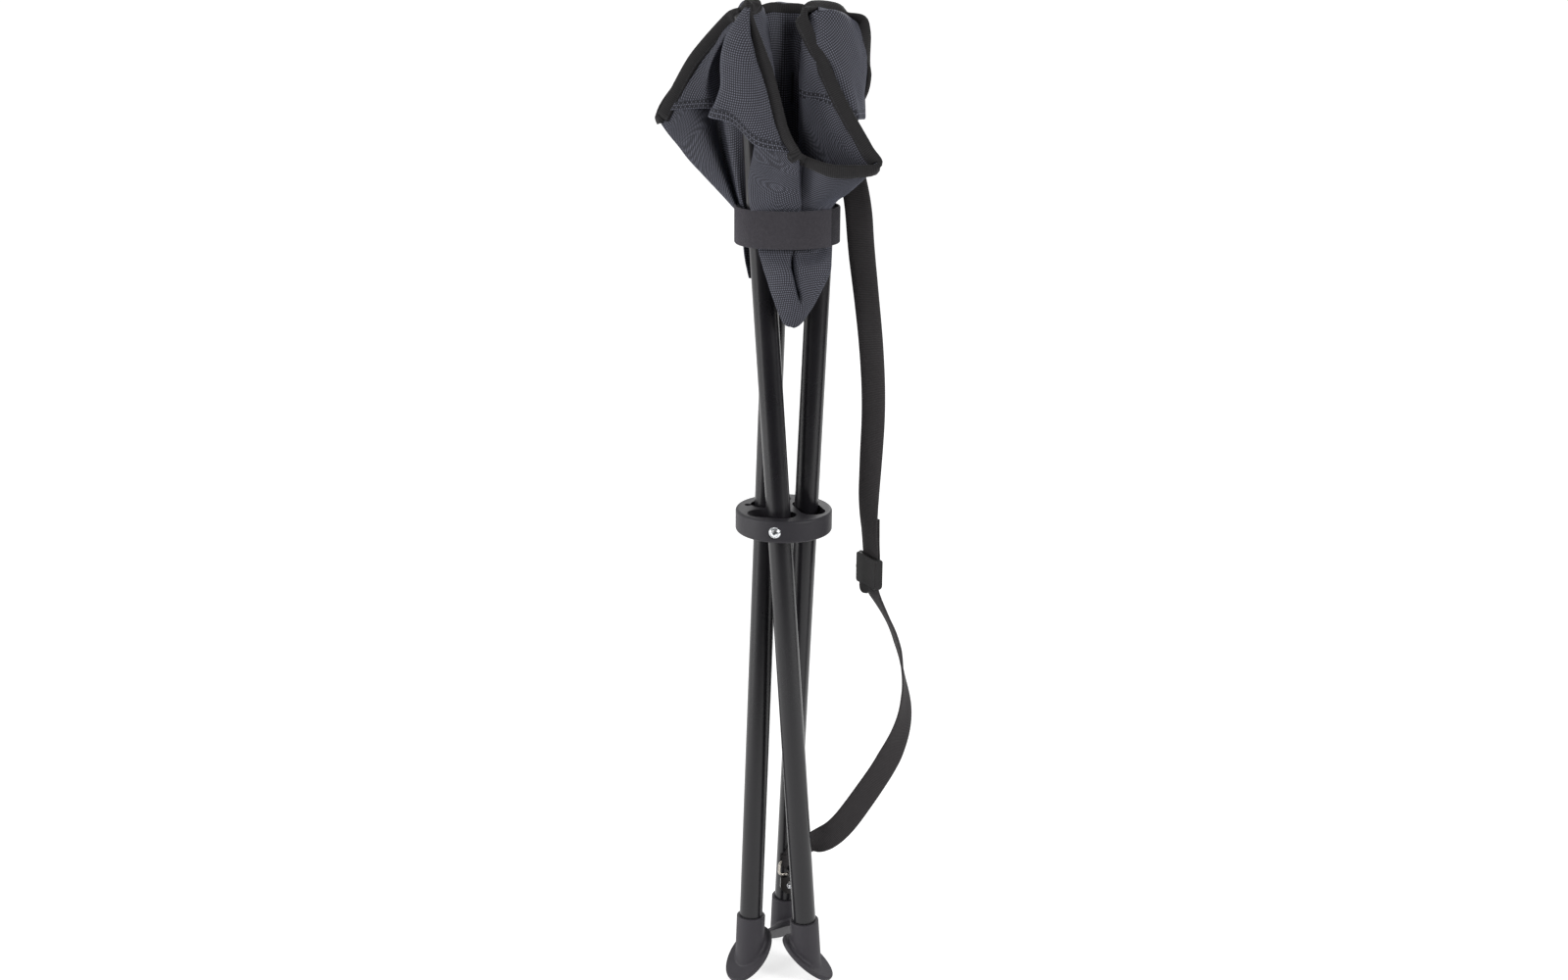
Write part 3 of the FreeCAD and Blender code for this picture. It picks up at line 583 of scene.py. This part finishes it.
back_top = [rim_place(round(line * per_line))[0] + mm(0, 2, -0.5) for line in (18.7, 19, 19.3)]
pocket_lines = {
    "a": (
        under_binding(27.5, 23.3),
        (seen(758, 12, -18), seen(737, 40, -7), seen(725, 66, -4), seen(722, 88, -2), seen(721, 110, -1)),
        (seen(760, 12, -20), seen(743, 40, 0), seen(741, 66, 5), seen(741, 90, 7), seen(739, 114, 4)),
        (seen(760, 8, -26), seen(742, 36, -24), seen(736, 64, -26), seen(735, 91, -29), seen(724, 119, -31)),
        (seen(762, 8, -29), seen(750, 38, -32), seen(747, 70, -35), seen(746, 98, -38), seen(748, 126, -39)),
        (seen(764, 8, -30), seen(762, 42, -34), seen(766, 78, -39), seen(771, 110, -43), seen(773, 149, -46)),
        under_binding(28.7, 31.9)),
    "c": (
        under_binding(11.3, 8.45),
        (seen(828, 14, -28), seen(842, 40, -31), seen(857, 72, -34), seen(868, 98, -37), seen(875, 122, -39)),
        (seen(831, 12, -28), seen(846, 21, -30), seen(863, 52, -30), seen(873, 87, -29), seen(879, 121, -30)),
        (seen(835, 10, -27), seen(856, 12, -24), seen(872, 37, -22), seen(880, 76, -18), seen(882, 119, -19)),
        under_binding(12.4, 15.9)),
    "b": (
        under_binding(18.5, 16.9),
        (back_top[0], mm(9, 38, 662.5), mm(12, 36, 632), mm(14, 34, 608), mm(15, 33, 590)),
        (back_top[1], mm(-2, 42, 664), mm(-2.5, 40.5, 630), mm(-3, 39.5, 605), mm(-3.5, 39, 588)),
        (back_top[2], mm(-13, 38, 662.5), mm(-17, 36, 632), mm(-19, 34.5, 608), mm(-20, 33, 590)),
        under_binding(19.5, 21.9))}
hem_profile = (
    (-0.6, 0), (-0.4, 0.7), (0.3, 0.95), (5.2, 0.95), (5.8, 0.6), (5.8, -0.6), (5.2, -0.95), (0.3, -0.95),
    (-0.4, -0.7))
pocket_parts, hem_parts = {}, {}
for leg, lines in pocket_lines.items():
    patch = rumpled(grid_through(lines, per_line, per_line), height=0.9, size=20, seed=8.1)
    pocket_parts[leg] = cloth_piece("pocket_" + leg, patch, cloth_finish, patch_thickness, len(patch[0]) // 2)
    places = []
    for c in range(len(patch[0])):
        inward = (patch[-3][c] - patch[-1][c]).normalized()
        places.append((patch[-1][c], inward, grid_normal(patch, len(patch) - 2, c)))
    hem_parts[leg] = edging("pocket_hem_" + leg, places, hem_finish, hem_profile)

# Seam across the inner right wall, where the pocket behind it is sewn on, between two (column, row) places
seam_from, seam_to = (11.2, 1.75), (9.15, 0.25)
seam_steps = 24
seam_lift = 0.0004


def on_cup(column, row):
    """Point of the cup, column counted in lines and row in the points of a line."""
    return through([through(points, column * per_line, True) for points in cup], row * per_row)


seam_places = []
for k in range(seam_steps + 1):
    column = seam_from[0] + (seam_to[0] - seam_from[0]) * k / seam_steps
    row = seam_from[1] + (seam_to[1] - seam_from[1]) * k / seam_steps
    point = on_cup(column, row)
    down = (on_cup(column, row + 0.1) - point).normalized()
    along = (on_cup(column - 0.05, row) - on_cup(column + 0.05, row)).normalized()
    inside = along.cross(down).normalized()
    seam_places.append((point + inside * seam_lift, down, inside))
seam_part = edging("wall_seam", seam_places, hem_finish, hem_profile)

# Tongue: the middle of the seat, drawn out below the closure strap in two pleats
tongue_lines = (
    (seen(770, 228, -25.5), seen(773, 254, -26), seen(779, 274, -27.5), seen(785, 291, -28),
     seen(791, 309, -28), seen(798, 327, -27)),
    (seen(786, 228, -26), seen(788, 255, -27), seen(792, 274, -34), seen(796, 291, -35),
     seen(801, 312, -33), seen(803, 332, -28.5)),
    (seen(804, 228, -26.5), seen(805, 256, -27), seen(805, 274, -34.5), seen(808, 287, -35.5),
     seen(811, 309, -34), seen(807, 333, -28.5)),
    (seen(808, 228, -19), seen(808.5, 256, -19), seen(808.5, 274, -20), seen(811, 288, -23),
     seen(816, 309, -32), seen(810, 334, -28.5)),
    (seen(812, 228, -25.5), seen(812, 256, -26), seen(813, 274, -33), seen(815, 288, -34),
     seen(820, 308, -33), seen(813, 333, -28)),
    (seen(831, 227, -20), seen(831, 255, -21), seen(833, 272, -31), seen(831, 289, -32),
     seen(826, 309, -31), seen(816, 331, -27.5)),
    (seen(848, 224, -13), seen(848, 248, -14), seen(848, 265, -20), seen(846, 281, -22),
     seen(835, 302, -25), seen(819, 327, -26)),
    (mm(18, -13.5, 533), mm(19, -13.5, 517), mm(20, -15, 507), mm(18, -17, 495),
     mm(10, -19, 481), seen(812, 330, -24)),
    (mm(-6, -22, 533), mm(-6, -22, 517), mm(-6, -22.5, 507), mm(-4, -23, 495),
     mm(1, -23.5, 481), seen(804, 330, -25)))
tongue_front = 20
tongue = grid_through(tongue_lines, per_line, per_line, closed=True)
tongue = rumpled(tongue, height=0.6, size=18, seed=5.3, closed=True)
end = sum(tongue[-1], Vector()) / len(tongue[-1])
tongue.append([end.lerp(point, 0.3) + Vector((0, 0, -0.001)) for point in tongue[-1]])
tongue_part = cloth_piece("seat_tongue", tongue, cloth_finish, patch_thickness, tongue_front, wrap=True)

# A corner of the same cloth that hangs out behind leg a
tail_lines = (
    (seen(758, 236, -8), seen(759, 254, -8), seen(761, 268, -9), seen(764.5, 284, -10)),
    (seen(763, 236, -5), seen(764, 254, -5), seen(765, 268, -6), seen(766, 284, -9)),
    (seen(769, 236, -4), seen(769, 254, -4), seen(769, 268, -5), seen(768, 284, -8)))
tail_part = cloth_piece("seat_tail", grid_through(tail_lines, 6, 6), cloth_finish, patch_thickness, 6)

# Closure strap: a dark band round the legs and the cloth, and its lapped end in loop fabric
band_line = (
    mm(-26, -20, 0), mm(-18, -28, 0), mm(-5, -30.5, 0), mm(8, -30, 0), mm(19, -25.5, 0), mm(28, -17, 0),
    mm(32.5, -6, 0), mm(30, 6, 0), mm(19, 20, 0), mm(4, 33, 0), mm(-8, 35, 0), mm(-17, 27, 0),
    mm(-26, 11, 0), mm(-29.5, 1, 0), mm(-29.5, -10, 0))


def band(name, line, closed, low, high, thickness, outwards, finish):
    """An upright band with soft edges along a level line, its heights in millimetres."""
    steps = 8
    edge = 0.6
    count = len(line) * steps if closed else (len(line) - 1) * steps + 1
    middle = [through(line, k / steps, closed) for k in range(count)]
    profile = (
        (low, 0.25), (low + edge, 0), (high - edge, 0), (high, 0.25),
        (high, 0.75), (high - edge, 1), (low + edge, 1), (low, 0.75))
    points, coordinates, faces = [], [], []
    run = 0.0
    for i, place in enumerate(middle):
        before = middle[i - 1] if closed or i else place
        after = middle[(i + 1) % count] if closed or i + 1 < count else place
        ahead = (after - before).normalized()
        out = Vector((ahead.y, -ahead.x, 0))
        run += (place - before).length
        lift = noise.noise(place * 40) * 0.5
        for height, share in profile:
            away = (outwards + share * thickness) / 1000
            points.append(place + out * away + Vector((0, 0, (height + lift) / 1000)))
            coordinates.append((run, height / 1000))
    sides = len(profile)
    for i in range(count if closed else count - 1):
        for k in range(sides):
            n = (k + 1) % sides
            j = (i + 1) % count
            faces.append((i * sides + k, i * sides + n, j * sides + n, j * sides + k))
    if not closed:
        faces.append(tuple(range(sides))[::-1])
        faces.append(tuple((count - 1) * sides + k for k in range(sides)))
    return mesh_piece(name, points, faces, coordinates, finish)


band_part = band("closure_band", band_line, closed=True, low=521.4, high=544.6, thickness=1.8, outwards=0.0,
                 finish=band_finish)
lap_line = band_line[-2:] + band_line[:5] + (mm(26, -19.5, 0),)
lap_part = band("closure_lap", lap_line, closed=False, low=521.2, high=545.0, thickness=1.5, outwards=1.9,
                finish=lap_finish)

# What each piece rides on and stands for
for leg in "abc":
    for piece in (cloth_parts[leg], binding_parts[leg], pocket_parts[leg], hem_parts[leg]):
        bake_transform(piece)
    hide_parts("seat_panel")
    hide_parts("corner_pocket_" + leg)
for leg, side in (("a", "left"), ("b", "right"), ("c", "front")):
    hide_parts("edge_binding_" + side)
for piece, node in ((band_part, "closure_strap"), (lap_part, "closure_tab")):
    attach(piece, "hub")
    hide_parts(node)
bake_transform(seam_part)
for piece in (tongue_part, tail_part):
    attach(piece, "hub")
    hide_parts("seat_panel")
for piece, node in ((upper_web, "shoulder_strap_upper"), (lower_web, "shoulder_strap_lower")):
    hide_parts(node)
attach(upper_web, "leg_c")
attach(sewn_end, "leg_c")
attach(ring_turn, "strap_ring")
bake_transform(lower_web)


# Floor, backdrop and light
def backdrop():
    """Pale floor that shows white to the camera and in reflections, and keeps the object's shadow."""
    n = Nodes("floor_white")
    grain = n.noise(n.place("Object"), 40, 3)
    n.set(Base_Color=n.mix(grain, (0.64, 0.64, 0.64, 1), (0.66, 0.66, 0.66, 1)))
    n.set(Roughness=0.95, Specular_IOR_Level=0.1)
    paths = n.add("ShaderNodeLightPath").outputs
    glossy = n.math("MAXIMUM", paths["Is Glossy Ray"], paths["Is Transmission Ray"])
    shown = n.math("MAXIMUM", paths["Is Camera Ray"], glossy)
    distance = n.add("ShaderNodeVectorMath", {0: n.place("Object")}, operation="LENGTH").outputs["Value"]
    limits = {"From Min": 0.6, "From Max": 3.0, "To Min": 0.69, "To Max": 0.88}
    glow = n.add("ShaderNodeMapRange", {"Value": distance, **limits}).outputs[0]
    n.set(Emission_Color=(1, 1, 1, 1), Emission_Strength=n.math("MULTIPLY", shown, glow))
    return n.material


def dark_card():
    n = Nodes("dark_card")
    grain = n.noise(n.place("Object"), 200, 3)
    n.set(Base_Color=n.mix(grain, (0.02, 0.02, 0.02, 1), (0.026, 0.026, 0.026, 1)), Roughness=0.9)
    return n.material


bpy.ops.mesh.primitive_plane_add(size=50, location=(0, 0, 0))
floor = bpy.context.object
floor.name = "floor"
floor.data.materials.append(backdrop())

# Dark cards in front and at the sides, which only reflections show
def reflection_card(name, place, turn, size):
    bpy.ops.mesh.primitive_plane_add(size=1, location=place, rotation=(math.pi / 2, 0, turn))
    card = bpy.context.object
    card.name = name
    card.scale = (*size, 1)
    card.data.materials.append(card_finish)
    card.visible_camera = False
    card.visible_diffuse = False
    card.visible_shadow = False


card_finish = dark_card()
reflection_card("card_front", (0, -0.72, 1.0), 0, (2.6, 2.0))
reflection_card("card_left", (-1.3, -0.5, 1.0), math.pi / 2, (1.1, 2.0))
reflection_card("card_right", (1.3, -0.5, 1.0), math.pi / 2, (1.1, 2.0))

world = bpy.data.worlds.new("studio")
scene.world = world
world.use_nodes = True
tree = world.node_tree
paths = tree.nodes.new("ShaderNodeLightPath")
shown = tree.nodes.new("ShaderNodeMath")
shown.operation = "ADD"
shown.use_clamp = True
glossy = tree.nodes.new("ShaderNodeMath")
glossy.operation = "ADD"
tree.links.new(paths.outputs["Is Glossy Ray"], glossy.inputs[0])
tree.links.new(paths.outputs["Is Transmission Ray"], glossy.inputs[1])
tree.links.new(paths.outputs["Is Camera Ray"], shown.inputs[0])
tree.links.new(glossy.outputs[0], shown.inputs[1])
level = tree.nodes.new("ShaderNodeMapRange")
level.inputs["To Min"].default_value = 0.28
level.inputs["To Max"].default_value = 1.0
tree.links.new(shown.outputs[0], level.inputs["Value"])
sky = tree.nodes["Background"]
sky.inputs["Color"].default_value = (1, 1, 1, 1)
tree.links.new(level.outputs[0], sky.inputs["Strength"])


def soft_light(name, place, aim, size, power):
    lamp = bpy.data.lights.new(name, "AREA")
    lamp.shape = "RECTANGLE"
    lamp.size, lamp.size_y = size
    lamp.energy = power
    holder = bpy.data.objects.new(name, lamp)
    holder.location = place
    holder.rotation_euler = (Vector(aim) - Vector(place)).to_track_quat("-Z", "Y").to_euler()
    scene.collection.objects.link(holder)


soft_light("key", (-1.3, -1.5, 1.2), (0, 0, 0.45), (0.6, 0.8), 9)
soft_light("fill", (1.6, -1.2, 1.1), (0, 0, 0.4), (0.6, 0.8), 28)
soft_light("side", (-1.9, -0.5, 0.5), (0, 0, 0.55), (0.6, 1.0), 24)
soft_light("back", (0.5, 1.9, 1.4), (0, 0, 0.4), (0.8, 0.8), 12)
